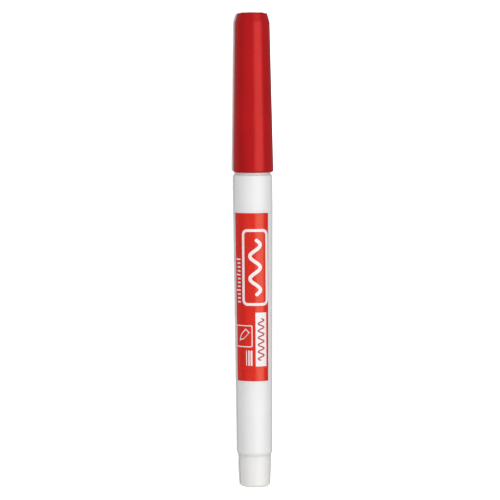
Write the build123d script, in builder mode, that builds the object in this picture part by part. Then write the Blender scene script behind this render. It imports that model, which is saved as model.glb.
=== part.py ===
from build123d import *
import os
from math import cos, radians, sin, sqrt

# Slim capped whiteboard marker, lying on its side. All sizes are in millimetres.
# Its axis runs along X, with the cap at +X and the tail at -X. The origin is under the middle of the
# marker, on the surface that the cap's mouth, its widest part, rests on.

# ---- Lengths along the marker ----
tail_length = 9.6
barrel_length = 81.6
flange_thickness = 0.6
cap_seat_gap = 0.04
cap_length = 46.16

# ---- Barrel ----
barrel_front_radius = 5.56
barrel_taper = 0.57
barrel_wall = 1.0
front_band_length = 9.0
front_edge_round = 0.55
rear_chamfer_length = 1.0
rear_chamfer_depth = 0.4
inner_rib_count = 6
inner_rib_width = 0.7
inner_rib_height = 0.15

# ---- Nose section, which holds the nib ----
nose_skirt_length = 9.0
neck_step = 0.78
neck_length = 9.5
bead_height = 0.045
bead_length = 1.2
bead_distance = 3.0
seal_land_step = 0.95
seal_land_length = 2.5
nose_cone_length = 8.0
nose_tip_wall = 0.75
nose_web = 1.4
air_groove_count = 3
air_groove_width = 0.5
air_groove_depth = 0.3

# ---- Nib, ink reservoir and its wrap ----
nib_radius = 1.25
nib_reach = 3.0
nib_bullet_length = 1.9
nib_depth_in_core = 5.0
wrap_thickness = 0.1
wrap_end_margin = 0.6
core_end_gap = 0.3

# ---- Rear plug, whose tail the cap is posted on ----
plug_skirt_length = 8.0
plug_wall = 0.85
plug_end_wall = 1.3
tail_step = 0.445
tail_land_length = 3.0
tail_taper = 0.24
tail_end_round = 1.2
tail_dome_height = 0.35
fin_thickness = 0.8

# ---- Cap shell and the seal cup inside it ----
cap_wall = 0.925
cap_taper = 0.78
cap_mouth_round = 0.55
cap_mouth_land = 1.2
cap_shoulder_length = 2.6
cap_shoulder_step = 0.75
cap_shoulder_blend = 2.0
cap_rim_wall = 0.55
cap_rim_round = 0.2
vent_width = 0.35
seal_wall = 0.55
seal_end_wall = 1.2
disc_stand = 0.2
disc_edge_round = 0.12
seal_rib_count = 4
seal_rib_width = 0.8
seal_rib_set_back = 2.0
vent_depth = 0.6

# ---- Printed film panel on the barrel ----
label_front_margin = 11.0
label_length = 48.7
label_start_angle = -74.5
label_end_angle = 47.5
label_thickness = 0.04

# ---- Clearances, and the small bevel that guides pressed and capped parts together ----
lead_in = 0.3
press_clearance = 0.02
running_clearance = 0.05
film_clearance = 0.01

# ---- Stations along X, from the tail to the cap's end ----
overall_length = tail_length + barrel_length + flange_thickness + cap_seat_gap + cap_length
tail_end = -overall_length / 2
barrel_rear = tail_end + tail_length
barrel_front = barrel_rear + barrel_length
flange_front = barrel_front + flange_thickness
cap_mouth = flange_front + cap_seat_gap
cap_end = cap_mouth + cap_length
neck_front = flange_front + neck_length
land_front = neck_front + seal_land_length
nose_tip = land_front + nose_cone_length
nib_tip = nose_tip + nib_reach
chamber_front = neck_front - nose_web
core_front = chamber_front - core_end_gap
core_rear = barrel_rear + plug_skirt_length + core_end_gap
cap_rim = cap_end - disc_stand
cap_shoulder = cap_rim - cap_shoulder_length

# ---- Radii from the marker's axis ----
barrel_rear_radius = barrel_front_radius - barrel_taper
nose_socket_radius = barrel_front_radius - barrel_wall
plug_socket_radius = barrel_rear_radius - barrel_wall
rib_inner_radius = plug_socket_radius - inner_rib_height
wrap_radius = rib_inner_radius - running_clearance
core_radius = wrap_radius - wrap_thickness - film_clearance
nib_bore_radius = nib_radius + press_clearance
nose_tip_radius = nib_bore_radius + air_groove_depth + nose_tip_wall
neck_radius = barrel_front_radius - neck_step
flange_radius = barrel_front_radius - front_edge_round
land_radius = neck_radius - seal_land_step
cap_bore_radius = neck_radius + bead_height + running_clearance
cap_mouth_radius = cap_bore_radius + cap_wall
cap_shoulder_radius = cap_mouth_radius - cap_taper
cap_rim_radius = cap_shoulder_radius - cap_shoulder_step
cap_shoulder_bore = cap_shoulder_radius - cap_wall
vent_radius = cap_rim_radius - cap_rim_wall
disc_radius = vent_radius - vent_width
seal_mouth_bore = land_radius + running_clearance
seal_mouth_radius = seal_mouth_bore + seal_wall
seal_end_bore = disc_radius - seal_wall
tail_radius = barrel_rear_radius - tail_step
plug_skirt_radius = plug_socket_radius - press_clearance
plug_bore_radius = plug_skirt_radius - plug_wall

axis_height = cap_mouth_radius
marker_axis = Axis((0, 0, axis_height), (1, 0, 0))


def section_at(angle):
    """The half plane through the marker's axis, turned from straight up towards -Y by this angle."""
    turn = radians(angle)
    return Plane(origin=(0, 0, axis_height), x_dir=(1, 0, 0), z_dir=(0, -cos(turn), -sin(turn)))


def cross_section(x):
    """The plane square to the marker's axis at this station, with its normal towards the cap."""
    return Plane(origin=(x, 0, axis_height), x_dir=(0, 1, 0), z_dir=(1, 0, 0))


def barrel_radius_at(x):
    """Outer radius of the barrel at this station: a plain front band, then a straight taper."""
    band_rear = barrel_front - front_band_length
    if x >= band_rear:
        return barrel_front_radius
    return barrel_front_radius - barrel_taper * (band_rear - x) / (band_rear - barrel_rear)


def seal_rib_top(bore_radius):
    """Distance of a seal rib's flat top from the axis, where the rib's corners just clear this bore."""
    return sqrt((bore_radius - press_clearance) ** 2 - (seal_rib_width / 2) ** 2)


def write(name, label):
    """Label one finished piece and write it to its own file."""
    name.part.label = label
    export_step(name.part, f"parts/{label}.step")


os.makedirs("parts", exist_ok=True)

# Barrel: a moulded tube, cylindrical at the front and tapering to the rear, with a rounded front edge,
# a bevelled rear edge and low ribs inside that hold the ink reservoir off the wall.
nose_socket_rear = barrel_front - nose_skirt_length
plug_socket_front = barrel_rear + plug_skirt_length
chamfer_front = barrel_rear + rear_chamfer_length
with BuildPart() as barrel:
    with BuildSketch(section_at(0)):
        with BuildLine():
            Polyline(
                (barrel_rear, plug_socket_radius),
                (barrel_rear, barrel_rear_radius - rear_chamfer_depth),
                (chamfer_front, barrel_radius_at(chamfer_front)),
                (barrel_front - front_band_length, barrel_front_radius),
                (barrel_front, barrel_front_radius),
                (barrel_front, nose_socket_radius),
                (nose_socket_rear, nose_socket_radius),
                (plug_socket_front, plug_socket_radius),
                close=True,
            )
        make_face()
    revolve(axis=marker_axis)
    front_edges = barrel.edges().filter_by(GeomType.CIRCLE).group_by(Axis.X)[-1]
    fillet(front_edges.sort_by(SortBy.RADIUS)[-1], front_edge_round)
    for number in range(inner_rib_count):
        with BuildSketch(section_at(360 / inner_rib_count * number)):
            with BuildLine():
                Polyline(
                    (plug_socket_front, rib_inner_radius),
                    (plug_socket_front, plug_socket_radius + barrel_wall / 2),
                    (nose_socket_rear, nose_socket_radius + barrel_wall / 2),
                    (nose_socket_rear, rib_inner_radius),
                    close=True,
                )
            make_face()
        extrude(amount=inner_rib_width / 2, both=True)
write(barrel, "barrel")

# Label film: a thin panel wrapped part of the way round the tapered barrel, edge to edge with its surface.
label_front = barrel_front - label_front_margin
label_rear = label_front - label_length
label_base_front = barrel_radius_at(label_front) + film_clearance
label_base_rear = barrel_radius_at(label_rear) + film_clearance
with BuildPart() as label_film:
    with BuildSketch(section_at(label_start_angle)):
        with BuildLine():
            Polyline(
                (label_rear, label_base_rear),
                (label_rear, label_base_rear + label_thickness),
                (label_front, label_base_front + label_thickness),
                (label_front, label_base_front),
                close=True,
            )
        make_face()
    revolve(axis=marker_axis, revolution_arc=label_end_angle - label_start_angle)
write(label_film, "label_film")

# Nose section: a skirt pressed into the barrel, a thin flange, the neck with its snap bead, the land that
# the cap seals on, and the cone that grips the nib, with air grooves along the nib's bore.
bead_rear = flange_front + bead_distance
bead_front = bead_rear + bead_length
skirt_radius = nose_socket_radius - press_clearance
with BuildPart() as nose_section:
    with BuildSketch(section_at(0)):
        with BuildLine():
            Polyline(
                (nose_socket_rear, rib_inner_radius),
                (nose_socket_rear, skirt_radius - lead_in),
                (nose_socket_rear + lead_in, skirt_radius),
                (barrel_front, skirt_radius),
                (barrel_front, flange_radius),
                (flange_front, flange_radius),
                (flange_front, neck_radius),
                (bead_rear, neck_radius),
                (bead_rear + bead_length / 3, neck_radius + bead_height),
                (bead_front - bead_length / 3, neck_radius + bead_height),
                (bead_front, neck_radius),
                (neck_front - lead_in, neck_radius),
                (neck_front, neck_radius - lead_in),
                (neck_front, land_radius),
                (land_front - lead_in, land_radius),
                (land_front, land_radius - lead_in),
                (nose_tip, nose_tip_radius),
                (nose_tip, nib_bore_radius),
                (chamber_front, nib_bore_radius),
                (chamber_front, rib_inner_radius),
                close=True,
            )
        make_face()
    revolve(axis=marker_axis)
    with BuildSketch(cross_section(chamber_front)):
        with PolarLocations(nib_bore_radius, air_groove_count):
            Rectangle(2 * air_groove_depth, air_groove_width)
    extrude(amount=nose_tip - chamber_front, mode=Mode.SUBTRACT)
    tip_edges = nose_section.edges().filter_by(GeomType.CIRCLE).group_by(Axis.X)[-1]
    fillet(tip_edges.sort_by(SortBy.RADIUS)[-1], nose_tip_wall / 3)
write(nose_section, "nose_section")

# Nib: a pressed fibre rod with a bullet tip, its rear end pushed into the reservoir.
nib_rear = core_front - nib_depth_in_core
bullet_rear = nib_tip - nib_bullet_length
with BuildPart() as nib:
    with BuildSketch(section_at(0)):
        with BuildLine():
            Polyline(
                (bullet_rear, nib_radius),
                (nib_rear, nib_radius),
                (nib_rear, 0),
                (nib_tip, 0),
            )
            EllipticalCenterArc((bullet_rear, 0), nib_bullet_length, nib_radius, start_angle=0, arc_size=90)
        make_face()
    revolve(axis=marker_axis)
write(nib, "nib")

# Ink reservoir: a fibre core with a blind hole that the nib's rear end sits in.
with BuildPart() as ink_reservoir:
    with BuildSketch(cross_section(core_rear)):
        Circle(core_radius)
    extrude(amount=core_front - core_rear)
    with BuildSketch(cross_section(nib_rear)):
        Circle(nib_bore_radius)
    extrude(amount=nib_depth_in_core, mode=Mode.SUBTRACT)
write(ink_reservoir, "ink_reservoir")

# Reservoir wrap: the film sleeve round the core, a little shorter than the core at both ends.
with BuildPart() as reservoir_wrap:
    with BuildSketch(cross_section(core_rear + wrap_end_margin)):
        Circle(wrap_radius)
        Circle(wrap_radius - wrap_thickness, mode=Mode.SUBTRACT)
    extrude(amount=core_front - core_rear - 2 * wrap_end_margin)
write(reservoir_wrap, "reservoir_wrap")

# Rear plug: a hollow skirt pressed into the barrel and a stepped, slightly domed tail, stiffened inside by
# a cross of two fins.
tail_land_rear = barrel_rear - tail_land_length
tail_end_radius = tail_radius - tail_taper
tail_face = tail_end + tail_dome_height
plug_bore_rear = tail_end + plug_end_wall
with BuildPart() as rear_plug:
    with BuildSketch(section_at(0)) as plug_profile:
        with BuildLine():
            dome = Line((tail_face, tail_end_radius), (tail_land_rear, tail_radius))
            skirt = Polyline(
                dome @ 1,
                (barrel_rear, tail_radius),
                (barrel_rear, plug_skirt_radius),
                (plug_socket_front - lead_in, plug_skirt_radius),
                (plug_socket_front, plug_skirt_radius - lead_in),
                (plug_socket_front, plug_bore_radius),
                (plug_bore_rear, plug_bore_radius),
                (plug_bore_rear, 0),
                (tail_end, 0),
            )
            TangentArc(skirt @ 1, dome @ 0, tangent=(0, 1))
        make_face()
        fillet(plug_profile.vertices().sort_by(Axis.X)[1], tail_end_round)
    revolve(axis=marker_axis)
    with BuildSketch(cross_section(plug_bore_rear)):
        with PolarLocations(0, 2, angular_range=180):
            Rectangle(2 * plug_bore_radius + plug_wall, fin_thickness)
    extrude(amount=plug_socket_front - plug_bore_rear - lead_in)
write(rear_plug, "rear_plug")

# Cap shell: a tapered tube with a rounded mouth and a sloping shoulder, open at its end round the seal cup.
bore_end = neck_front + seal_rib_set_back
with BuildPart() as cap_shell:
    with BuildSketch(section_at(0)):
        with BuildLine():
            Polyline(
                (cap_mouth, cap_bore_radius),
                (cap_mouth, cap_mouth_radius),
                (cap_mouth + cap_mouth_land, cap_mouth_radius),
                (cap_shoulder, cap_shoulder_radius),
                (cap_rim, cap_rim_radius),
                (cap_rim, vent_radius),
                (cap_shoulder, cap_shoulder_bore),
                (bore_end, cap_bore_radius),
                close=True,
            )
        make_face()
    revolve(axis=marker_axis)
    outer_circles = cap_shell.edges().filter_by(GeomType.CIRCLE)
    fillet(outer_circles.group_by(Axis.X)[0].sort_by(SortBy.RADIUS)[-1], cap_mouth_round)
    shoulder_circles = cap_shell.edges().filter_by(GeomType.CIRCLE).group_by(Axis.X)
    fillet(shoulder_circles[-2].sort_by(SortBy.RADIUS)[-1], cap_shoulder_blend)
    rim_circles = cap_shell.edges().filter_by(GeomType.CIRCLE).group_by(Axis.X)[-1]
    fillet(rim_circles.sort_by(SortBy.RADIUS)[-1], cap_rim_round)
write(cap_shell, "cap_shell")

# Cap inner seal: a long cup whose mouth closes on the nose's land and whose closed end is the disc in the
# cap's end. Ribs hold it in the shell and leave a way for air between the two.
rib_rear = bore_end
rib_front = cap_rim - vent_depth
rib_end_bore = vent_radius + (cap_shoulder_bore - vent_radius) * vent_depth / cap_shoulder_length
with BuildPart() as cap_inner_seal:
    with BuildSketch(section_at(0)):
        with BuildLine():
            Polyline(
                (neck_front + running_clearance, seal_mouth_bore),
                (neck_front + running_clearance, seal_mouth_radius),
                (bore_end, seal_mouth_radius),
                (cap_end, disc_radius),
                (cap_end, 0),
                (cap_end - seal_end_wall, 0),
                (cap_end - seal_end_wall, seal_end_bore),
                (land_front, seal_mouth_bore),
                close=True,
            )
        make_face()
    revolve(axis=marker_axis)
    disc_edge = cap_inner_seal.edges().filter_by(GeomType.CIRCLE).group_by(Axis.X)[-1]
    fillet(disc_edge.sort_by(SortBy.RADIUS)[-1], disc_edge_round)
    for number in range(seal_rib_count):
        with BuildSketch(section_at(360 / seal_rib_count * (number + 0.5))):
            with BuildLine():
                Polyline(
                    (rib_rear, seal_mouth_radius - seal_wall / 2),
                    (rib_rear, seal_rib_top(cap_bore_radius)),
                    (cap_shoulder, seal_rib_top(cap_shoulder_bore)),
                    (rib_front, seal_rib_top(rib_end_bore)),
                    (rib_front, disc_radius - seal_wall / 2),
                    close=True,
                )
            make_face()
        extrude(amount=seal_rib_width / 2, both=True)
write(cap_inner_seal, "cap_inner_seal")
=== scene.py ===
import math

import bmesh
import bpy
import numpy as np
from mathutils import Matrix, Vector


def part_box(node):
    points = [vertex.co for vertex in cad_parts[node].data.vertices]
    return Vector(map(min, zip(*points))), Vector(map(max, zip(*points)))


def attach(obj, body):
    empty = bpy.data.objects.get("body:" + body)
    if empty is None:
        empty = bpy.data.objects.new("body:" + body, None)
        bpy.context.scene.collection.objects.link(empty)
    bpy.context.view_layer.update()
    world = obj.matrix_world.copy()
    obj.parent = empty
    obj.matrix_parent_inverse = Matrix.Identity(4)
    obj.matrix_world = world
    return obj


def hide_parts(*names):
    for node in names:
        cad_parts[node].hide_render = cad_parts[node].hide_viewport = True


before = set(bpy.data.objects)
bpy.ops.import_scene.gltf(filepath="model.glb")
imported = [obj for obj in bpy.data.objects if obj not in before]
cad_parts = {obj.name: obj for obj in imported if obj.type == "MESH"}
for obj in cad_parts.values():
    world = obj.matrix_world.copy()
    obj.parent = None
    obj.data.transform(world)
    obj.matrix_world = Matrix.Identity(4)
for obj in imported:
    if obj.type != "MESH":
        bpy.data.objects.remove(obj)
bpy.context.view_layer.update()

# ---- Camera ----
# The marker lies on its side on a pale sweep, with its cap towards +X. The camera hangs over it with a long
# lens, looks down with +X towards the top of the picture, and leans a few degrees over to the cap's side.
mm = 0.001
marker_axis_z = (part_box("cap_shell")[0][2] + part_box("cap_shell")[1][2]) / 2
camera_distance = 0.9
camera_lean = math.radians(3.5)
camera_roll = math.radians(0.43)
aim_x, aim_y = 0.25 * mm, 1.16 * mm
frame_height = 145.16 * mm
near_limit, far_limit = 0.05, 20


def placed(point, right, up, back):
    """Matrix of an object at this point whose own X, Y and Z run along these three directions."""
    return Matrix.Translation(point) @ Matrix((right, up, back)).transposed().to_4x4()


camera_data = bpy.data.cameras.new("camera")
camera_data.lens = camera_data.sensor_width * camera_distance / frame_height
camera_data.clip_start = near_limit
camera_data.clip_end = far_limit
camera = bpy.data.objects.new("camera", camera_data)
bpy.context.scene.collection.objects.link(camera)
camera_back = Vector((math.sin(camera_lean), 0, math.cos(camera_lean)))
plain_up = Vector((math.cos(camera_lean), 0, -math.sin(camera_lean)))
plain_right = plain_up.cross(camera_back)
camera_up = plain_up * math.cos(camera_roll) + plain_right * math.sin(camera_roll)
camera_right = camera_up.cross(camera_back)
camera_place = Vector((aim_x, aim_y, marker_axis_z)) + camera_back * camera_distance
camera.matrix_world = placed(camera_place, camera_right, camera_up, camera_back)
bpy.context.scene.camera = camera

# ---- Sweep ----
# Matt white paper under the marker. Only the camera sees it: it doesn't show in the marker's gloss, and
# throws no light or shade on it. A faint glow of its own keeps the marker's shadow pale.
floor_size = 0.6
floor_glow = 0.2


def colour(code):
    """Linear red, green, blue and alpha of an sRGB hex colour: c / 12.92 where it is dark, and elsewhere
    ((c + 0.055) / 1.055) ^ 2.4."""
    channels = np.array([int(code[i:i + 2], 16) for i in (0, 2, 4)]) / 255
    dark = channels <= 0.04045
    linear = np.where(dark, channels / 12.92, ((channels + 0.055) / 1.055) ** 2.4)
    return (*map(float, linear), 1.0)


def add(tree, kind, inputs=(), **settings):
    """Add one node: settings are its attributes, and inputs are values for its sockets, or sockets that are
    linked to them."""
    node = tree.nodes.new(kind)
    for name, value in settings.items():
        setattr(node, name, value)
    for name, value in dict(inputs).items():
        if isinstance(value, bpy.types.NodeSocket):
            tree.links.new(value, node.inputs[name])
        else:
            node.inputs[name].default_value = value
    return node


def new_material(name):
    """An empty node material and its tree."""
    material = bpy.data.materials.new(name)
    material.use_nodes = True
    material.node_tree.nodes.clear()
    return material, material.node_tree


floor_mesh = bpy.data.meshes.new("sweep")
floor_corners = np.array([(-1, -1, 0), (1, -1, 0), (1, 1, 0), (-1, 1, 0)]) * floor_size / 2
floor_mesh.from_pydata(floor_corners.tolist(), [], [(0, 1, 2, 3)])
floor = bpy.data.objects.new("sweep", floor_mesh)
bpy.context.scene.collection.objects.link(floor)
# Uncoated paper: a flat white without any shine.
floor_material, tree = new_material("white_sweep_paper")
paper = add(tree, "ShaderNodeBsdfPrincipled", {
    "Base Color": colour("e6e6e6"), "Roughness": 0.9, "Specular IOR Level": 0.1,
    "Emission Color": colour("ffffff"), "Emission Strength": floor_glow,
})
add(tree, "ShaderNodeOutputMaterial", {"Surface": paper.outputs["BSDF"]})
floor_mesh.materials.append(floor_material)
floor.visible_diffuse = False
floor.visible_glossy = False
floor.visible_shadow = False

# ---- Studio light ----
# A long softbox to the marker's right, the only one that shows in its gloss, a wide one to its left, a low
# one for the glow of a white table, and a fill beyond each end. None of these lights the sweep. A small
# light overhead does that, strongly enough to wash it out, so the shadow is narrow.
light_distance = 0.9
room_glow = 0.2


def lit(name, state):
    """A light linking collection that holds the sweep, either as all that is lit or as all that isn't."""
    receivers = bpy.data.collections.new(name)
    receivers.objects.link(floor)
    receivers.collection_objects[0].light_linking.link_state = state
    return receivers


all_but_sweep = lit("all_but_sweep", "EXCLUDE")
only_sweep = lit("only_sweep", "INCLUDE")


def softbox(name, across, along, length, arc, power, mirrored=True, receivers=all_but_sweep):
    """A rectangular light, aimed at the marker from light_distance away. across tips it from straight up
    towards -Y, then along tips it towards +X, both in degrees. It is this long, and fills an arc of this
    many degrees the other way. A light that isn't mirrored lights faces without showing in glossy ones."""
    tip, slope = math.radians(across), math.radians(along)
    data = bpy.data.lights.new(name, "AREA")
    data.shape = "RECTANGLE"
    data.size = length
    data.size_y = 2 * light_distance * math.tan(math.radians(arc / 2))
    data.energy = power
    light = bpy.data.objects.new(name, data)
    light.visible_glossy = mirrored
    light.light_linking.receiver_collection = receivers
    bpy.context.scene.collection.objects.link(light)
    back = Vector((math.sin(slope), -math.sin(tip) * math.cos(slope), math.cos(tip) * math.cos(slope)))
    long_side = Vector((1, 0, 0)) if abs(back.x) < abs(back.z) + abs(back.y) else Vector((0, 1, 0))
    long_side = (long_side - back * long_side.dot(back)).normalized()
    light.matrix_world = placed(back * light_distance, long_side, back.cross(long_side), back)


softbox("key_softbox", across=34, along=0, length=1.2, arc=50, power=6.5)
softbox("left_softbox", across=-32, along=0, length=1.2, arc=56, power=4.2, mirrored=False)
softbox("table_glow", across=-125, along=0, length=1.2, arc=48, power=3.8, mirrored=False)
softbox("cap_end_fill", across=0, along=84, length=0.8, arc=40, power=2.2, mirrored=False)
softbox("tail_end_fill", across=0, along=-84, length=0.8, arc=40, power=1.6, mirrored=False)
softbox("sweep_light", across=6.5, along=2.5, length=0.13, arc=8, power=16.0, receivers=only_sweep)

# The room is white where the camera looks past the sweep, and a dim even light for everything else.
world = bpy.data.worlds.new("studio")
bpy.context.scene.world = world
world.use_nodes = True
world.node_tree.nodes.clear()
ray = add(world.node_tree, "ShaderNodeLightPath")
brightness = add(world.node_tree, "ShaderNodeMapRange", {
    "Value": ray.outputs["Is Camera Ray"], "To Min": room_glow,
})
room = add(world.node_tree, "ShaderNodeBackground", {
    "Color": colour("ffffff"), "Strength": brightness.outputs["Result"],
})
add(world.node_tree, "ShaderNodeOutputWorld", {"Surface": room.outputs["Background"]})
bpy.context.scene.view_settings.view_transform = "Standard"

# ---- Barrel ----
# A white polypropylene tube, injection moulded: plain for a short band behind the cap, then tapering to
# the tail. Its front edge is rounded, its rear edge bevelled, and low ribs inside hold the reservoir.
barrel_low, barrel_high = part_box("barrel")
barrel_rear, barrel_front = barrel_low[0], barrel_high[0]
barrel_radius = (barrel_high[1] - barrel_low[1]) / 2
barrel_taper = 0.57 * mm
barrel_wall = 1.0 * mm
front_band = 9.0 * mm
front_round = 0.55 * mm
rear_bevel_length = 1.0 * mm
rear_bevel_depth = 0.4 * mm
rear_bevel_blend = 0.5 * mm
broken_edge = 0.08 * mm
nose_socket_length = 9.0 * mm
plug_socket_length = 8.0 * mm
inner_rib_count = 6
inner_rib_width = 0.7 * mm
inner_rib_height = 0.15 * mm
support = 0.06 * mm


def outline(corners, steps=7):
    """Points of an outline with its corners rounded. A corner (x, radius, rounding) becomes an arc tangent
    to both of its sides, and each side gets a point just inside its ends, to keep its shading straight."""
    plain = np.array([corner[:2] for corner in corners], float)
    points = []
    for number, (x, radius, rounding) in enumerate(corners):
        here = plain[number]
        before, after = plain[number - 1] - here, plain[(number + 1) % len(plain)] - here
        before_length, after_length = np.linalg.norm(before), np.linalg.norm(after)
        before, after = before / before_length, after / after_length
        half = math.acos(float(np.clip(before @ after, -1, 1))) / 2
        cut = rounding / math.tan(half) if rounding else 0.0
        points.append(here + before * (cut + min(support, before_length / 4)))
        if rounding:
            middle = here + (before + after) / np.linalg.norm(before + after) * rounding / math.sin(half)
            start, end = here + before * cut - middle, here + after * cut - middle
            sweep = math.pi - 2 * half
            share = np.linspace(0, 1, steps + 1)[:, None]
            arc = (np.sin((1 - share) * sweep) * start + np.sin(share * sweep) * end) / math.sin(sweep)
            points.extend(middle + arc)
        else:
            points.append(here)
        points.append(here + after * (cut + min(support, after_length / 4)))
    return np.array(points)


edge_half_width = 0.002


def whole_turn(count=144, marks=()):
    """Angles round the marker: evenly spaced, with a close pair at each marked angle for a crisp edge."""
    close = np.array([mark + side * edge_half_width for mark in marks for side in (-1, 1)])
    angles = np.concatenate([np.linspace(0, 2 * math.pi, count, endpoint=False), close % (2 * math.pi)])
    return np.unique(np.round(angles, 6))


def rib_edges(count, width, radius, first=0.0):
    """Angles of both sides of evenly spaced ribs of this width at this radius."""
    half = math.asin(width / 2 / radius)
    return [first + 2 * math.pi * n / count + side * half for n in range(count) for side in (-1, 1)]


def in_ribs(angle, count, width, radius, first=0.0):
    """True where an angle lies within one of the evenly spaced ribs."""
    pitch = 2 * math.pi / count
    off = (angle - first + pitch / 2) % pitch - pitch / 2
    return np.abs(off) < math.asin(width / 2 / radius)


weld = 0.0005 * mm


def finished(name, vertices, faces, material, body, nodes=(), slot=None, sharp=35.0):
    """Make a mesh object, merge its doubled points, turn its faces outwards, smooth the edges that are
    flatter than the sharp angle, and tie it to the frame."""
    mesh = bpy.data.meshes.new(name)
    mesh.from_pydata(vertices.tolist(), [], faces.tolist())
    work = bmesh.new()
    work.from_mesh(mesh)
    bmesh.ops.remove_doubles(work, verts=work.verts, dist=weld)
    bmesh.ops.recalc_face_normals(work, faces=work.faces)
    work.to_mesh(mesh)
    work.free()
    mesh.shade_smooth()
    mesh.set_sharp_from_angle(angle=math.radians(sharp))
    mesh.materials.append(material)
    piece = bpy.data.objects.new(name, mesh)
    bpy.context.scene.collection.objects.link(piece)
    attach(piece, body)
    if nodes:
        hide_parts(*nodes)
    return piece


def turned(points, angles, closed=True, shape=None):
    """Grid of an outline carried round the marker's axis: x stays, and the radius turns to y and z, at an
    angle from straight up towards -Y. shape may change the radii, as ribs and grooves do, from the grids of
    x, radius and angle."""
    rows, columns = len(points), len(angles)
    x, radius = (np.repeat(points[:, [k]], columns, axis=1) for k in (0, 1))
    angle = np.broadcast_to(angles, x.shape)
    if shape:
        radius = shape(x, radius, angle)
    grid = np.stack([x, -radius * np.sin(angle), marker_axis_z + radius * np.cos(angle)], axis=-1)
    row = np.arange(rows if closed else rows - 1)[:, None]
    column = np.arange(columns)[None, :]
    next_row, next_column = (row + 1) % rows, (column + 1) % columns
    corners = [row * columns + column, next_row * columns + column,
               next_row * columns + next_column, row * columns + next_column]
    faces = np.stack([np.broadcast_to(c, (row.size, column.size)) for c in corners], axis=-1).reshape(-1, 4)
    return grid.reshape(-1, 3), faces


def barrel_radius_at(x):
    """Outer radius of the barrel: level along the front band, then straight down to the rear."""
    band_rear = barrel_front - front_band
    share = np.clip((band_rear - x) / (band_rear - barrel_rear), 0, 1)
    return barrel_radius - barrel_taper * share


flow_streak, flow_cloud = 3.2 * mm, 14 * mm
mould_grain, mould_grain_height = 0.35 * mm, 0.01 * mm
scuff_width = 0.5 * mm
roughness_spread = 0.03
wall_glow = (1.0, 0.95, 0.9)


def moulded_plastic(name, base, shade, roughness, translucency=(0.5, 2.2 * mm), specular=0.5,
                    tint="ffffff", ior=1.49):
    """Injection-moulded polypropylene. Flow streaks along the part shift its colour and gloss a little, fine
    scuffs dull it here and there, and the spark-eroded mould leaves a grain. Translucency is how much light
    goes into the wall, and how far. Real grain and scuffs are about a tenth of a millimetre wide: they are
    drawn three to five times as coarse, so that they show."""
    material, tree = new_material(name)
    place = add(tree, "ShaderNodeTexCoord").outputs["Object"]
    streak_place = add(tree, "ShaderNodeMapping", {"Vector": place, "Scale": (0.12, 1, 1)}).outputs["Vector"]
    streaks = add(tree, "ShaderNodeTexNoise", {
        "Vector": streak_place, "Scale": 1 / flow_streak, "Detail": 3.0, "Roughness": 0.55,
    }).outputs["Fac"]
    cloud = add(tree, "ShaderNodeTexNoise", {
        "Vector": place, "Scale": 1 / flow_cloud, "Detail": 2.0,
    }).outputs["Fac"]
    spread = add(tree, "ShaderNodeMath", {0: streaks, 1: cloud}, operation="MULTIPLY").outputs[0]
    spread = add(tree, "ShaderNodeMapRange", {
        "Value": spread, "From Min": 0.12, "From Max": 0.4,
    }).outputs["Result"]
    skin = add(tree, "ShaderNodeMix", {
        "Factor": spread, 6: colour(base), 7: colour(shade),
    }, data_type="RGBA").outputs[2]
    grain = add(tree, "ShaderNodeTexNoise", {
        "Vector": place, "Scale": 1 / mould_grain, "Detail": 2.0, "Roughness": 0.6,
    }).outputs["Fac"]
    scuff_place = add(tree, "ShaderNodeMapping", {
        "Vector": place, "Rotation": (0.3, 0.2, 0.5), "Scale": (0.06, 1, 1),
    }).outputs["Vector"]
    scuffs = add(tree, "ShaderNodeTexNoise", {
        "Vector": scuff_place, "Scale": 1 / scuff_width, "Detail": 1.0,
    }).outputs["Fac"]
    scuffs = add(tree, "ShaderNodeMapRange", {
        "Value": scuffs, "From Min": 0.68, "From Max": 0.8, "To Max": 0.1,
    }).outputs["Result"]
    rough = add(tree, "ShaderNodeMapRange", {
        "Value": streaks, "From Min": 0.3, "From Max": 0.7,
        "To Min": roughness - roughness_spread, "To Max": roughness + roughness_spread,
    }).outputs["Result"]
    rough = add(tree, "ShaderNodeMath", {0: rough, 1: scuffs}, operation="ADD").outputs[0]
    relief = add(tree, "ShaderNodeBump", {
        "Height": grain, "Strength": 0.5, "Distance": mould_grain_height,
    }).outputs["Normal"]
    shader = add(tree, "ShaderNodeBsdfPrincipled", {
        "Base Color": skin, "Roughness": rough, "Normal": relief, "IOR": ior,
        "Specular IOR Level": specular, "Specular Tint": colour(tint),
        "Subsurface Weight": translucency[0], "Subsurface Radius": wall_glow,
        "Subsurface Scale": translucency[1],
    })
    add(tree, "ShaderNodeOutputMaterial", {"Surface": shader.outputs["BSDF"]})
    return material


# White polypropylene from a finely eroded mould: a satin face with one broad pale highlight along it, and
# translucent enough that its shaded side stays light.
white_polypropylene = moulded_plastic("white_polypropylene", "f6f4f3", "f1f0ef", 0.42)

nose_socket_radius = barrel_radius - barrel_wall
plug_socket_radius = barrel_radius - barrel_taper - barrel_wall
rib_inner_radius = plug_socket_radius - inner_rib_height
bevel_front = barrel_rear + rear_bevel_length


def barrel_ribs(x, radius, angle):
    """Between the two sockets the inner wall steps in to the ribs' inner radius within each rib."""
    inside = (radius < barrel_radius_at(x) - barrel_wall / 2) & in_ribs(
        angle, inner_rib_count, inner_rib_width, nose_socket_radius)
    between = (x > barrel_rear + plug_socket_length + support / 2) & (
        x < barrel_front - nose_socket_length - support / 2)
    return np.where(inside & between, rib_inner_radius, radius)


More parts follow.
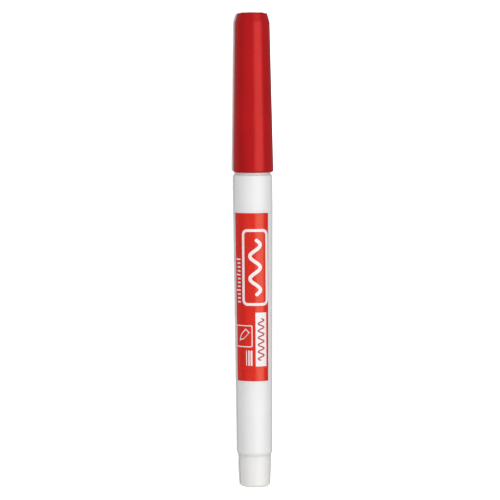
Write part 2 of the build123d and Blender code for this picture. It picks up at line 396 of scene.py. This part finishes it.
barrel_points = outline([
    (barrel_rear, plug_socket_radius, 0),
    (barrel_rear, barrel_radius - barrel_taper - rear_bevel_depth, broken_edge),
    (bevel_front, barrel_radius_at(bevel_front), rear_bevel_blend),
    (barrel_front - front_band, barrel_radius, 0),
    (barrel_front, barrel_radius, front_round),
    (barrel_front, nose_socket_radius, 0),
    (barrel_front - nose_socket_length, nose_socket_radius, 0),
    (barrel_rear + plug_socket_length, plug_socket_radius, 0),
])
barrel_angles = whole_turn(marks=rib_edges(inner_rib_count, inner_rib_width, nose_socket_radius))
finished("barrel_tube", *turned(barrel_points, barrel_angles, shape=barrel_ribs),
         white_polypropylene, "marker", ["barrel"], "barrel_plastic")

# ---- Label panel ----
# A thin red film bonded to the barrel, wrapped a third of the way round it and turned a little to one side.
# It is glossier than the moulded white beside it, and follows the barrel's taper.
label_low, label_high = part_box("label_film")
label_rear, label_front = label_low[0], label_high[0]
label_start = math.radians(-74.5)
label_end = math.radians(47.5)
label_lift = 0.01 * mm
label_thickness = 0.04 * mm
label_rows, label_columns = 60, 90


def slab(top, bottom):
    """Closed sheet from two equal grids of points: one face on each, and a wall that joins their rims."""
    rows, columns = top.shape[:2]
    index = np.arange(rows * columns).reshape(rows, columns)
    quads = np.stack([index[:-1, :-1], index[1:, :-1], index[1:, 1:], index[:-1, 1:]], axis=-1)
    quads = quads.reshape(-1, 4)
    rim = np.concatenate([index[0, :-1], index[:-1, -1], index[-1, :0:-1], index[:0:-1, 0]])
    turned_rim = np.roll(rim, -1)
    below = rows * columns
    walls = np.stack([rim, turned_rim, turned_rim + below, rim + below], axis=-1)
    vertices = np.concatenate([top.reshape(-1, 3), bottom.reshape(-1, 3)])
    return vertices, np.concatenate([quads, quads[:, ::-1] + below, walls])


def on_barrel(x, angle, height):
    """Points at this height over the barrel's outer surface, at x and this angle from straight up."""
    radius = barrel_radius_at(x) + height
    return np.stack([x, -radius * np.sin(angle), marker_axis_z + radius * np.cos(angle)], axis=-1)


film_ripple, film_ripple_height = 1.6 * mm, 0.004 * mm
ink_mottle = 0.4 * mm


def red_label_film(name, base, shade):
    """Glossy printed film: a saturated ink layer under a clear face, with the faint ripple of a bonded film.
    The ink's mottle is drawn several times as coarse as real print, so that it shows."""
    material, tree = new_material(name)
    place = add(tree, "ShaderNodeTexCoord").outputs["Object"]
    ripple_place = add(tree, "ShaderNodeMapping", {"Vector": place, "Scale": (0.3, 1, 1)}).outputs["Vector"]
    ripple = add(tree, "ShaderNodeTexNoise", {
        "Vector": ripple_place, "Scale": 1 / film_ripple, "Detail": 2.0,
    }).outputs["Fac"]
    ink = add(tree, "ShaderNodeTexNoise", {
        "Vector": place, "Scale": 1 / ink_mottle, "Detail": 3.0,
    }).outputs["Fac"]
    ink = add(tree, "ShaderNodeMapRange", {
        "Value": ink, "From Min": 0.35, "From Max": 0.65,
    }).outputs["Result"]
    skin = add(tree, "ShaderNodeMix", {
        "Factor": ink, 6: colour(base), 7: colour(shade),
    }, data_type="RGBA").outputs[2]
    rough = add(tree, "ShaderNodeMapRange", {
        "Value": ripple, "From Min": 0.3, "From Max": 0.7, "To Min": 0.24, "To Max": 0.3,
    }).outputs["Result"]
    relief = add(tree, "ShaderNodeBump", {
        "Height": ripple, "Strength": 0.3, "Distance": film_ripple_height,
    }).outputs["Normal"]
    shader = add(tree, "ShaderNodeBsdfPrincipled", {
        "Base Color": skin, "Roughness": rough, "Normal": relief, "IOR": 1.5,
        "Specular IOR Level": 0.8, "Specular Tint": colour("ffe0b4"),
    })
    add(tree, "ShaderNodeOutputMaterial", {"Surface": shader.outputs["BSDF"]})
    return material


# Red ink under a clear face: a bright, slightly orange red that turns warmer where the softbox shows in it.
red_film = red_label_film("red_label_film", "e01d1b", "da1a18")
label_x, label_angle = np.meshgrid(
    np.linspace(label_rear, label_front, label_rows),
    np.linspace(label_start, label_end, label_columns), indexing="ij")
finished("label_panel", *slab(on_barrel(label_x, label_angle, label_lift + label_thickness),
                              on_barrel(label_x, label_angle, label_lift)),
         red_film, "marker", ["label_film"], "label_film")

# ---- Print on the label ----
# Opaque screen ink, each mark a thin layer that follows the film: in white a framed board with a curve drawn
# on it, a row of ruler ticks, a block with a red trace across it, a framed pen and three line-width samples.
# Places along the marker are counted back from the label's front edge, places round it from its top line.
print_thickness = 0.012 * mm
film_top = label_lift + label_thickness
points_across = 7
least_share = 0.02


def printed(x, arc, layer=0):
    """A layer of ink over the film, from its grids of x and of distance round the barrel. The distance over
    the barrel's radius is the angle."""
    angle = arc / barrel_radius_at(x)
    base = film_top + layer * print_thickness
    return slab(on_barrel(x, angle, base + print_thickness), on_barrel(x, angle, base))


def stroke(x, arc, width, layer=0, blunt=True):
    """A pen stroke along a path: points beside the path at up to half its width, with round or blunt ends.
    Near a round end the half width is that of a circle at the same distance from its middle, but never
    less than a small share of the full one, so that no face closes up."""
    along = np.stack([np.gradient(x), np.gradient(arc)])
    along = along / np.linalg.norm(along, axis=0)
    travelled = np.concatenate([[0], np.cumsum(np.hypot(np.diff(x), np.diff(arc)))])
    from_end = np.minimum(travelled, travelled[-1] - travelled)
    half = np.full_like(x, width / 2)
    if not blunt:
        near = np.clip(1 - from_end / (width / 2), 0, 1)
        half = width / 2 * np.sqrt(np.clip(1 - near ** 2, least_share ** 2, 1))
    across = np.linspace(-1, 1, points_across)[None, :] * half[:, None]
    return printed(x[:, None] - along[1][:, None] * across, arc[:, None] + along[0][:, None] * across, layer)


def joined(sheets):
    """One mesh from several: their points in one list, each one's faces counted on from the ones before."""
    starts = np.cumsum([0] + [len(vertices) for vertices, faces in sheets])
    return (np.concatenate([vertices for vertices, faces in sheets]),
            np.concatenate([faces + start for (vertices, faces), start in zip(sheets, starts)]))


screen_pitch, screen_ink_height = 0.25 * mm, 0.004 * mm


def screen_ink(name, base, shade, roughness):
    """Opaque screen ink: nearly flat colour with the slight mottle of the mesh that it was pressed through,
    which is drawn about three times as coarse as a real mesh, so that it shows."""
    material, tree = new_material(name)
    place = add(tree, "ShaderNodeTexCoord").outputs["Object"]
    mottle = add(tree, "ShaderNodeTexNoise", {
        "Vector": place, "Scale": 1 / screen_pitch, "Detail": 3.0,
    }).outputs["Fac"]
    spread = add(tree, "ShaderNodeMapRange", {
        "Value": mottle, "From Min": 0.35, "From Max": 0.65,
    }).outputs["Result"]
    skin = add(tree, "ShaderNodeMix", {
        "Factor": spread, 6: colour(base), 7: colour(shade),
    }, data_type="RGBA").outputs[2]
    relief = add(tree, "ShaderNodeBump", {
        "Height": mottle, "Strength": 0.4, "Distance": screen_ink_height,
    }).outputs["Normal"]
    shader = add(tree, "ShaderNodeBsdfPrincipled", {
        "Base Color": skin, "Roughness": roughness, "Normal": relief, "IOR": 1.5,
    })
    add(tree, "ShaderNodeOutputMaterial", {"Surface": shader.outputs["BSDF"]})
    return material


# White screen ink: opaque and satin, a touch pinker than the barrel's white.
white_ink = screen_ink("white_screen_ink", "f6f1f1", "eee6e7", 0.35)
# Red screen ink over the white: duller and cooler than the film's red.
red_ink = screen_ink("red_screen_ink", "b8353c", "b02c33", 0.35)

board_front, board_rear = label_front - 5.0 * mm, label_front - 26.4 * mm
board_low, board_high = -3.3 * mm, 3.9 * mm
board_line = 0.8 * mm
board_round = 1.3 * mm
frame_points = 240
curve_line = 1.0 * mm
curve_height = 1.5 * mm
curve_waves = 2.5
curve_margin = 0.12
curve_points = 200


def round_frame(start, end, low, high, rounding, width):
    """The line of a rectangle with rounded corners, drawn all the way round as one closed stroke: four
    quarter circles joined by straight sides, then spaced evenly."""
    quarter = np.linspace(0, math.pi / 2, 12)
    path = []
    for number, (x, arc) in enumerate([
        (end - rounding, high - rounding), (start + rounding, high - rounding),
        (start + rounding, low + rounding), (end - rounding, low + rounding),
    ]):
        turn = quarter + number * math.pi / 2
        path.append(np.stack([x + rounding * np.cos(turn), arc + rounding * np.sin(turn)], axis=-1))
    path = np.concatenate(path)
    path = np.concatenate([path, path[:2]])
    travelled = np.concatenate([[0], np.cumsum(np.linalg.norm(np.diff(path, axis=0), axis=1))])
    even = np.linspace(0, travelled[-1], frame_points)
    return stroke(np.interp(even, travelled, path[:, 0]), np.interp(even, travelled, path[:, 1]), width)


curve_share = np.linspace(0, 1, curve_points)
curve_x = board_front + (board_rear - board_front) * (curve_margin + (1 - 2 * curve_margin) * curve_share)
curve_arc = (board_low + board_high) / 2 + curve_height * np.sin(2 * math.pi * curve_waves * curve_share)
finished("printed_board_sign", *joined([
    round_frame(board_rear, board_front, board_low, board_high, board_round, board_line),
    stroke(curve_x, curve_arc, curve_line, blunt=False),
]), white_ink, "marker", slot="label_film")

tick_count = 12
tick_first = label_front - 13.4 * mm
tick_pitch = 1.12 * mm
tick_width = 0.42 * mm
tick_points = 8
tick_foot = -4.4 * mm
long_tick, short_tick = 2.0 * mm, 1.3 * mm
long_tick_every = 4
ticks = []
for number in range(tick_count):
    tick_reach = short_tick if number % long_tick_every else long_tick
    tick_arc = np.linspace(tick_foot - tick_reach, tick_foot, tick_points)
    ticks.append(stroke(np.full_like(tick_arc, tick_first - number * tick_pitch), tick_arc, tick_width))
finished("printed_ruler_ticks", *joined(ticks), white_ink, "marker", slot="label_film")

block_front, block_rear = label_front - 28.8 * mm, label_front - 44.4 * mm
block_low, block_high = 0.27 * mm, 3.6 * mm
block_rows, block_columns = 40, 16
block_x, block_arc = np.meshgrid(
    np.linspace(block_rear, block_front, block_rows),
    np.linspace(block_low, block_high, block_columns), indexing="ij")
finished("printed_block", *printed(block_x, block_arc), white_ink, "marker", slot="label_film")

trace_front, trace_rear = label_front - 30.5 * mm, label_front - 42.7 * mm
trace_middle = 1.9 * mm
trace_height = 0.85 * mm
trace_waves = 6
trace_width = 0.42 * mm
trace_points = 260
trace_share = np.linspace(0, 1, trace_points)
trace_x = trace_front + (trace_rear - trace_front) * trace_share
trace_arc = trace_middle + trace_height * np.sin(2 * math.pi * trace_waves * trace_share)
finished("printed_block_trace", *stroke(trace_x, trace_arc, trace_width, layer=1, blunt=False),
         red_ink, "marker", slot="label_film")

sign_line = 0.28 * mm
sign_round = 0.3 * mm
sign_front, sign_rear = label_front - 32.6 * mm, label_front - 38.7 * mm
sign_low, sign_high = -6.55 * mm, -0.75 * mm
pen_length, pen_half, pen_cone = 2.3 * mm, 0.75 * mm, 1.5 * mm
pen_turn = math.radians(225)
pen_shift = 0.1 * mm
pen_points = 160
pen_outline = np.array([
    (-pen_length, -pen_half), (0, -pen_half), (pen_cone, 0), (0, pen_half), (-pen_length, pen_half),
    (-pen_length, -pen_half), (0, -pen_half),
])
pen_travelled = np.concatenate([[0], np.cumsum(np.linalg.norm(np.diff(pen_outline, axis=0), axis=1))])
pen_even = np.linspace(0, pen_travelled[-1], pen_points)
pen_x, pen_arc = (np.interp(pen_even, pen_travelled, pen_outline[:, k]) for k in (0, 1))
pen_middle_x = (sign_front + sign_rear) / 2 - pen_shift
pen_middle_arc = (sign_low + sign_high) / 2 - pen_shift
finished("printed_pen_sign", *joined([
    round_frame(sign_rear, sign_front, sign_low, sign_high, sign_round, sign_line),
    stroke(pen_middle_x + pen_x * math.cos(pen_turn) - pen_arc * math.sin(pen_turn),
           pen_middle_arc + pen_x * math.sin(pen_turn) + pen_arc * math.cos(pen_turn), sign_line),
]), white_ink, "marker", slot="label_film")

sample_front, sample_rear = label_front - 39.7 * mm, label_front - 44.3 * mm
sample_first, sample_pitch = -0.95 * mm, 0.75 * mm
sample_widths = (0.55 * mm, 0.4 * mm, 0.25 * mm)
sample_points = 24
sample_x = np.linspace(sample_front, sample_rear, sample_points)
finished("printed_line_samples", *joined([
    stroke(sample_x, np.full_like(sample_x, sample_first - number * sample_pitch), sample_width, blunt=False)
    for number, sample_width in enumerate(sample_widths)
]), white_ink, "marker", slot="label_film")

# ---- Nose section ----
# White polypropylene, pressed into the barrel's front: a skirt, a thin flange that shows as the line between
# cap and barrel, the neck with its snap bead, the land that the cap seals on, and the cone round the nib.
nose_low, nose_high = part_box("nose_section")
skirt_rear, nose_tip = nose_low[0], nose_high[0]
flange_thickness = 0.6 * mm
flange_front = barrel_front + flange_thickness
neck_step = 0.78 * mm
neck_length = 9.5 * mm
bead_height = 0.045 * mm
bead_length = 1.2 * mm
bead_distance = 3.0 * mm
bead_round = 0.3 * mm
land_step = 0.95 * mm
land_length = 2.5 * mm
nose_web = 1.4 * mm
lead_in = 0.3 * mm
soft_edge = 0.15 * mm
neck_edge = 0.1 * mm
cone_foot_round = 0.3 * mm
tip_wall = 0.75 * mm
bore_edge = 0.04 * mm
groove_count = 3
groove_width = 0.5 * mm
groove_depth = 0.3 * mm
press_clearance = 0.02 * mm
nib_radius = (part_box("nib")[1][1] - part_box("nib")[0][1]) / 2
nib_bore = nib_radius + press_clearance
skirt_radius = nose_socket_radius - press_clearance
flange_radius = barrel_radius - front_round
neck_radius = barrel_radius - neck_step
land_radius = neck_radius - land_step
neck_front = flange_front + neck_length
land_front = neck_front + land_length
chamber_front = neck_front - nose_web
bead_rear = flange_front + bead_distance
tip_radius = nib_bore + groove_depth + tip_wall


def air_grooves(x, radius, angle):
    """The nib's bore is cut outwards by the grooves' depth within each groove."""
    bore = radius < nib_bore + press_clearance / 2
    grooved = bore & in_ribs(angle, groove_count, groove_width, nib_bore)
    return np.where(grooved, radius + groove_depth, radius)


nose_points = outline([
    (skirt_rear, rib_inner_radius, 0),
    (skirt_rear, skirt_radius - lead_in, 0),
    (skirt_rear + lead_in, skirt_radius, 0),
    (barrel_front, skirt_radius, 0),
    (barrel_front, flange_radius, broken_edge),
    (flange_front, flange_radius, broken_edge),
    (flange_front, neck_radius, 0),
    (bead_rear, neck_radius, 0),
    (bead_rear + bead_length / 3, neck_radius + bead_height, bead_round),
    (bead_rear + bead_length * 2 / 3, neck_radius + bead_height, bead_round),
    (bead_rear + bead_length, neck_radius, 0),
    (neck_front - lead_in, neck_radius, soft_edge),
    (neck_front, neck_radius - lead_in, neck_edge),
    (neck_front, land_radius, 0),
    (land_front - lead_in, land_radius, soft_edge),
    (land_front, land_radius - lead_in, cone_foot_round),
    (nose_tip, tip_radius, tip_wall / 3),
    (nose_tip, nib_bore, bore_edge),
    (chamber_front, nib_bore, 0),
    (chamber_front, rib_inner_radius, 0),
])
# The barrel's white from a smoother mould: a touch greyer, with a slightly tighter highlight on its steps.
nose_polypropylene = moulded_plastic("white_nose_polypropylene", "f3f1ef", "eceae8", 0.38)
nose_angles = whole_turn(marks=rib_edges(groove_count, groove_width, nib_bore))
finished("nose_holder", *turned(nose_points, nose_angles, shape=air_grooves),
         nose_polypropylene, "marker", ["nose_section"], "nose_plastic")

# ---- Nib ----
# A rod of pressed polyester fibre, ground to a bullet tip and soaked with red ink. Its rear end sits in the
# reservoir, which feeds it.
nib_low, nib_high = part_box("nib")
nib_rear, nib_tip = nib_low[0], nib_high[0]
bullet_length = 1.9 * mm
bullet_points = 24
inner_steps = 96
nib_strand = 0.12 * mm
strand_height = 0.05 * mm


def soaked_fibre(name, wet, dry, strand):
    """Bundled fibres full of ink: strands along the rod, darker where the ink stands between them. Real
    fibres are a few hundredths of a millimetre thick, so the strands are drawn coarser, as bundles."""
    material, tree = new_material(name)
    place = add(tree, "ShaderNodeTexCoord").outputs["Object"]
    strand_place = add(tree, "ShaderNodeMapping", {"Vector": place, "Scale": (0.05, 1, 1)}).outputs["Vector"]
    strands = add(tree, "ShaderNodeTexNoise", {
        "Vector": strand_place, "Scale": 1 / strand, "Detail": 3.0, "Roughness": 0.7,
    }).outputs["Fac"]
    bright = add(tree, "ShaderNodeMapRange", {
        "Value": strands, "From Min": 0.35, "From Max": 0.65,
    }).outputs["Result"]
    skin = add(tree, "ShaderNodeMix", {
        "Factor": bright, 6: colour(wet), 7: colour(dry),
    }, data_type="RGBA").outputs[2]
    relief = add(tree, "ShaderNodeBump", {
        "Height": strands, "Strength": 0.7, "Distance": strand_height,
    }).outputs["Normal"]
    shader = add(tree, "ShaderNodeBsdfPrincipled", {
        "Base Color": skin, "Roughness": 0.62, "Normal": relief, "IOR": 1.4,
    })
    add(tree, "ShaderNodeOutputMaterial", {"Surface": shader.outputs["BSDF"]})
    return material


# Pressed fibre full of ink: matt and deep red, lighter on its strands than in the gaps between them.
nib_fibre = soaked_fibre("red_soaked_nib_fibre", "9c1218", "c3313a", nib_strand)
bullet = np.linspace(0, math.pi / 2, bullet_points)
nib_points = np.concatenate([
    [(nib_rear, 0), (nib_rear, nib_radius - support), (nib_rear + support, nib_radius)],
    np.stack([nib_tip - bullet_length * (1 - np.sin(bullet)), nib_radius * np.cos(bullet)], axis=-1),
])
finished("nib_rod", *turned(nib_points, whole_turn(inner_steps), closed=False),
         nib_fibre, "marker", ["nib"], "nib_fibre", sharp=40)

# ---- Ink reservoir and its wrap ----
# A core of bundled polyester fibre that holds the ink, with a hole for the nib's rear end, inside a sleeve
# of thin clear film. The ribs of the barrel keep both off its wall.
core_low, core_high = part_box("ink_reservoir")
core_rear, core_front = core_low[0], core_high[0]
core_radius = (core_high[1] - core_low[1]) / 2
core_edge = 0.1 * mm
core_strand = 0.3 * mm
# The same ink in a looser bundle: a lighter red with coarser strands.
core_fibre = soaked_fibre("red_soaked_core_fibre", "a51e26", "d8626a", core_strand)
core_points = outline([
    (core_rear, 0, 0),
    (core_rear, core_radius, core_edge),
    (core_front, core_radius, core_edge),
    (core_front, nib_bore, 0),
    (nib_rear, nib_bore, 0),
    (nib_rear, 0, 0),
])[1:-1]
finished("reservoir_core", *turned(core_points, whole_turn(inner_steps), closed=False),
         core_fibre, "marker", ["ink_reservoir"], "reservoir_fibre")

wrap_low, wrap_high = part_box("reservoir_wrap")
wrap_radius = (wrap_high[1] - wrap_low[1]) / 2
wrap_thickness = 0.1 * mm
crinkle_width, crinkle_height = 2.5 * mm, 0.03 * mm
# Clear polyester film: glossy and slightly crinkled, with the red core showing through it.
clear_film, tree = new_material("clear_polyester_film")
film_place = add(tree, "ShaderNodeTexCoord").outputs["Object"]
film_crinkle = add(tree, "ShaderNodeTexNoise", {
    "Vector": film_place, "Scale": 1 / crinkle_width, "Detail": 2.0,
})
film_relief = add(tree, "ShaderNodeBump", {
    "Height": film_crinkle.outputs["Fac"], "Strength": 0.5, "Distance": crinkle_height,
})
film_haze = add(tree, "ShaderNodeMapRange", {
    "Value": film_crinkle.outputs["Fac"], "To Min": 0.15, "To Max": 0.3,
})
film_shader = add(tree, "ShaderNodeBsdfPrincipled", {
    "Base Color": colour("f3efec"), "Roughness": film_haze.outputs["Result"], "IOR": 1.57,
    "Transmission Weight": 0.85, "Normal": film_relief.outputs["Normal"],
})
add(tree, "ShaderNodeOutputMaterial", {"Surface": film_shader.outputs["BSDF"]})
wrap_points = outline([
    (wrap_low[0], wrap_radius - wrap_thickness, 0),
    (wrap_low[0], wrap_radius, 0),
    (wrap_high[0], wrap_radius, 0),
    (wrap_high[0], wrap_radius - wrap_thickness, 0),
])
finished("reservoir_sleeve", *turned(wrap_points, whole_turn(inner_steps)), clear_film, "marker",
         ["reservoir_wrap"], "wrap_film")

# ---- Rear plug ----
# White polypropylene, a shade warmer than the barrel: a skirt pressed into the barrel, and the stepped,
# slightly domed tail that the cap is posted on. A cross of fins stiffens it inside.
plug_low, plug_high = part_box("rear_plug")
tail_end, plug_front = plug_low[0], plug_high[0]
plug_wall = 0.85 * mm
plug_end_wall = 1.3 * mm
tail_step = 0.445 * mm
tail_land = 3.0 * mm
tail_taper = 0.24 * mm
tail_round = 1.2 * mm
tail_dome = 0.35 * mm
tail_root_round = 0.05 * mm
fin_thickness = 0.8 * mm
tail_radius = barrel_radius - barrel_taper - tail_step
plug_skirt = plug_socket_radius - press_clearance
plug_bore = plug_skirt - plug_wall
plug_floor = tail_end + plug_end_wall
tail_face = tail_end + tail_dome

tail_corners = outline([
    (tail_end, 0, 0),
    (tail_face, tail_radius - tail_taper, tail_round),
    (barrel_rear - tail_land, tail_radius, 0),
    (barrel_rear, tail_radius, tail_root_round),
    (barrel_rear, plug_skirt, 0),
    (plug_front - lead_in, plug_skirt, 0),
    (plug_front, plug_skirt - lead_in, 0),
    (plug_front, plug_bore, 0),
    (plug_floor, plug_bore, 0),
    (plug_floor, 0, 0),
])[1:-1]
# The barrel's white from another moulding: a shade warmer and darker, with the same satin face.
plug_polypropylene = moulded_plastic("white_plug_polypropylene", "f2f0ed", "ecebe8", 0.4)


def plate(low, high):
    """A flat plate between two corners: the eight corners of its box and their six faces."""
    x, y, z = (np.array([a, b]) for a, b in zip(low, high))
    corners = np.stack(np.meshgrid(x, y, z, indexing="ij"), axis=-1).reshape(-1, 3)
    faces = [(0, 1, 3, 2), (4, 6, 7, 5), (0, 4, 5, 1), (2, 3, 7, 6), (0, 2, 6, 4), (1, 5, 7, 3)]
    return corners, np.array(faces)


fin_reach = plug_bore + plug_wall / 2
fin_half = fin_thickness / 2
fins = [
    plate((plug_floor, -reach_y, marker_axis_z - reach_z),
          (plug_front - lead_in, reach_y, marker_axis_z + reach_z))
    for reach_y, reach_z in ((fin_reach, fin_half), (fin_half, fin_reach))
]
finished("tail_plug", *joined([turned(tail_corners, whole_turn(), closed=False), *fins]),
         plug_polypropylene, "marker", ["rear_plug"], "plug_plastic")

# ---- Cap shell ----
# Red polypropylene, injection moulded with a satin-gloss face: a tapered tube with a rounded mouth and a
# sloping shoulder, open at its end round the seal cup's disc.
cap_low, cap_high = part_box("cap_shell")
cap_mouth, cap_rim = cap_low[0], cap_high[0]
cap_radius = (cap_high[1] - cap_low[1]) / 2
cap_wall = 0.925 * mm
cap_taper = 0.78 * mm
cap_mouth_round = 0.55 * mm
cap_bore_round = 0.1 * mm
cap_mouth_land = 1.2 * mm
shoulder_length = 2.6 * mm
shoulder_step = 0.75 * mm
shoulder_blend = 2.0 * mm
rim_wall = 0.55 * mm
rim_round = 0.2 * mm
rib_set_back = 2.0 * mm
cap_steps = 192
cap_bore = cap_radius - cap_wall
cap_shoulder = cap_rim - shoulder_length
shoulder_radius = cap_radius - cap_taper
shoulder_bore = shoulder_radius - cap_wall
rim_radius = shoulder_radius - shoulder_step
vent_radius = rim_radius - rim_wall
bore_end = neck_front + rib_set_back

cap_points = outline([
    (cap_mouth, cap_bore, cap_bore_round),
    (cap_mouth, cap_radius, cap_mouth_round),
    (cap_mouth + cap_mouth_land, cap_radius, 0),
    (cap_shoulder, shoulder_radius, shoulder_blend),
    (cap_rim, rim_radius, rim_round),
    (cap_rim, vent_radius, broken_edge),
    (cap_shoulder, shoulder_bore, 0),
    (bore_end, cap_bore, 0),
])
red_translucency = (0.03, 0.5 * mm)
red_sheen = "ff6a62"
# Red polypropylene from a polished mould: deep red and satin-gloss, with a long light-red highlight.
red_polypropylene = moulded_plastic("red_polypropylene", "bc171d", "ac1217", 0.28,
                                    translucency=red_translucency, specular=1.0, tint=red_sheen, ior=1.6)
finished("cap_tube", *turned(cap_points, whole_turn(cap_steps)),
         red_polypropylene, "cap", ["cap_shell"], "cap_plastic")

# ---- Cap inner seal ----
# A long cup of the same red polypropylene. Its mouth closes on the nose's land, its closed end is the disc in
# the cap's end, and four ribs hold it in the shell so that air can pass between the two.
seal_low, seal_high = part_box("cap_inner_seal")
seal_mouth, seal_end = seal_low[0], seal_high[0]
seal_wall = 0.55 * mm
seal_lip_round = 0.05 * mm
seal_end_wall = 1.2 * mm
vent_width = 0.35 * mm
vent_depth = 0.6 * mm
disc_round = 0.12 * mm
running_clearance = 0.05 * mm
seal_rib_count = 4
seal_rib_width = 0.8 * mm
seal_rib_gap = 0.04 * mm
disc_radius = vent_radius - vent_width
seal_bore = land_radius + running_clearance
seal_radius = seal_bore + seal_wall
rib_first = math.pi / seal_rib_count
rib_front = cap_rim - vent_depth


def seal_ribs(x, radius, angle):
    """Outside the cup, each rib reaches out to a small gap short of the shell's bore."""
    bore = np.interp(x, [bore_end, cap_shoulder, cap_rim], [cap_bore, shoulder_bore, vent_radius])
    wall = np.interp(x, [bore_end, seal_end], [seal_radius, disc_radius])
    outside = radius > wall - seal_wall / 2
    along = (x > bore_end + support / 2) & (x < rib_front - support / 2)
    ribs = in_ribs(angle, seal_rib_count, seal_rib_width, seal_radius, rib_first)
    return np.where(outside & along & ribs, bore - seal_rib_gap, radius)


seal_points = outline([
    (seal_end - seal_end_wall, 0, 0),
    (seal_end - seal_end_wall, disc_radius - seal_wall, 0),
    (land_front, seal_bore, 0),
    (seal_mouth, seal_bore, seal_lip_round),
    (seal_mouth, seal_radius, soft_edge),
    (bore_end, seal_radius, 0),
    (rib_front, float(np.interp(rib_front, [bore_end, seal_end], [seal_radius, disc_radius])), 0),
    (seal_end, disc_radius, disc_round),
    (seal_end, 0, 0),
])[1:-1]
seal_angles = whole_turn(marks=rib_edges(seal_rib_count, seal_rib_width, seal_radius, rib_first))
# The cap's red from a plainer mould: a little darker and duller.
seal_polypropylene = moulded_plastic("red_seal_polypropylene", "b4151b", "a81117", 0.34,
                                     translucency=red_translucency, specular=1.0, tint=red_sheen, ior=1.6)
finished("seal_cup", *turned(seal_points, seal_angles, closed=False, shape=seal_ribs),
         seal_polypropylene, "cap", ["cap_inner_seal"], "seal_plastic")
